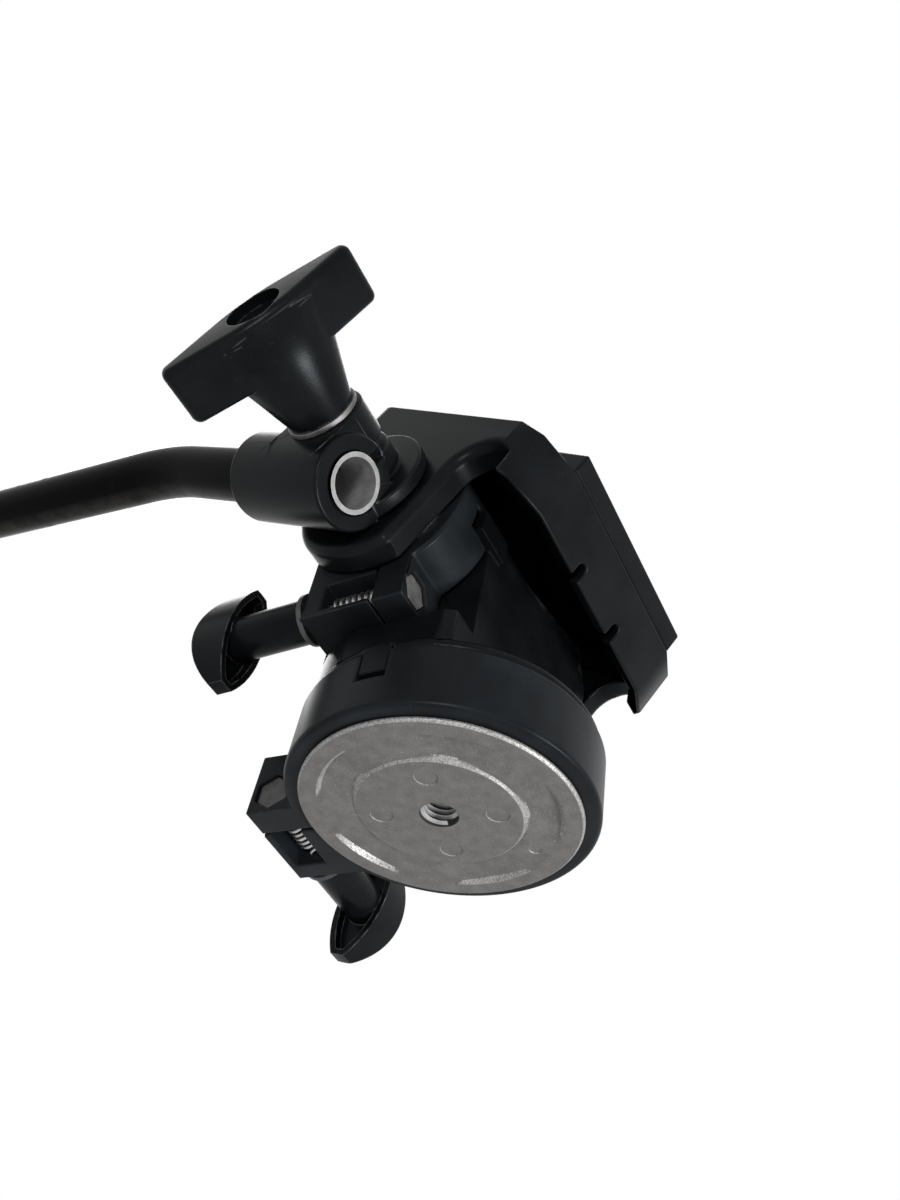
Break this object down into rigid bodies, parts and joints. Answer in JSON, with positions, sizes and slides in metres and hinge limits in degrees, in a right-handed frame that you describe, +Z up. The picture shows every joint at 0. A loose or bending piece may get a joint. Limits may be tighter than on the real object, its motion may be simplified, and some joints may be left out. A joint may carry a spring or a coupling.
{
  "type": "pan and tilt head",
  "caption": "Small tripod head with a continuous pan base, a tilting camera cradle, split clamp bands with sprung bolts and wing knobs, and a bent pan bar held by a T knob.",
  "frame": {"origin": "mouth of the tripod thread at the centre of the base's underside, on the pan axis", "axes": "+Z up along the pan axis, +X along the tilt axis towards the side without the bar, +Y back towards the operator"},
  "size_m": [0.1603, 0.3393, 0.151],
  "materials": {
    "cast_base": "bare grainy casting",
    "bare_alloy": "turned",
    "plain_steel": "plain",
    "plated_steel": "dull plated",
    "spring_steel": "drawn wire",
    "bronze": "sintered",
    "slip_plastic": "plain",
    "black_body": "satin fine grain",
    "black_band": "satin",
    "black_block": "satin",
    "black_knob": "satin",
    "gloss_tube": "gloss",
    "grip_rubber": "matt"
  },
  "bodies": {
    "base": {"base_plate": "cast_base", "pan_spindle": "plain_steel", "pan_nut": "plain_steel", "pan_slip_ring": "slip_plastic"},
    "pan_body": {"pan_housing": "black_body", "pan_drag_drum": "bare_alloy", "pan_bush": "bronze", "tilt_bushes": "bronze", "pan_clamp_band": "black_band", "pan_clamp_bolt": "plated_steel", "pan_clamp_spring": "spring_steel", "pan_clamp_washer": "plated_steel", "tilt_clamp_band": "black_band", "tilt_clamp_bolt": "plated_steel", "tilt_clamp_spring": "spring_steel", "tilt_clamp_washer": "plated_steel"},
    "pan_knob": {"pan_lock_knob": "black_knob", "pan_knob_nut": "bronze"},
    "tilt_knob": {"tilt_lock_knob": "black_knob", "tilt_knob_nut": "bronze"},
    "tilt_body": {"cradle": "black_body", "tilt_hub": "bare_alloy", "tilt_trunnion": "bare_alloy", "tilt_axle": "plain_steel", "quick_block": "black_block", "camera_plate": "black_block", "plate_pad": "grip_rubber", "camera_screw": "plated_steel", "lever_pin": "plain_steel"},
    "quick_release": {"quick_lever": "black_knob"},
    "bar_holder": {"bar_clamp": "black_body"},
    "bar_knob": {"t_knob": "black_knob", "t_stud": "plain_steel", "bar_washer": "plated_steel"},
    "pan_bar": {"bar_tube": "gloss_tube", "bar_grip": "grip_rubber"}
  },
  "joints": [
    {"name": "pan", "type": "hinge", "parent": "base", "child": "pan_body", "pos_m": [0, 0, 0], "axis": [0, 0, 1], "continuous": true},
    {"name": "tilt", "type": "hinge", "parent": "pan_body", "child": "tilt_body", "pos_m": [0, 0.0058, 0.069], "axis": [1, 0, 0], "range_deg": [-79.6, 35.4]},
    {"name": "pan_lock", "type": "hinge", "parent": "pan_body", "child": "pan_knob", "pos_m": [-0.01135, 0.04443, 0.00812], "axis": [0.9977, 0.068, 0], "range_deg": [-90, 90]},
    {"name": "tilt_lock", "type": "hinge", "parent": "pan_body", "child": "tilt_knob", "pos_m": [-0.03553, -0.005, 0.041], "axis": [0, 1, 0], "range_deg": [-90, 90]},
    {"name": "quick_lever_turn", "type": "hinge", "parent": "tilt_body", "child": "quick_release", "pos_m": [0.0287, 0.00333, 0.10569], "axis": [0, -0.5678, 0.8231], "range_deg": [-75, 0]},
    {"name": "bar_angle", "type": "hinge", "parent": "tilt_body", "child": "bar_holder", "pos_m": [-0.0631, 0.0058, 0.069], "axis": [1, 0, 0], "range_deg": [-60, 60]},
    {"name": "bar_lock", "type": "hinge", "parent": "bar_holder", "child": "bar_knob", "pos_m": [-0.09, 0.0058, 0.069], "axis": [1, 0, 0], "range_deg": [-180, 180]},
    {"name": "bar_turn", "type": "hinge", "parent": "bar_holder", "child": "pan_bar", "pos_m": [-0.0631, 0.01107, 0.05934], "axis": [0, 0.878, 0.4787], "range_deg": [-90, 90]}
  ]
}
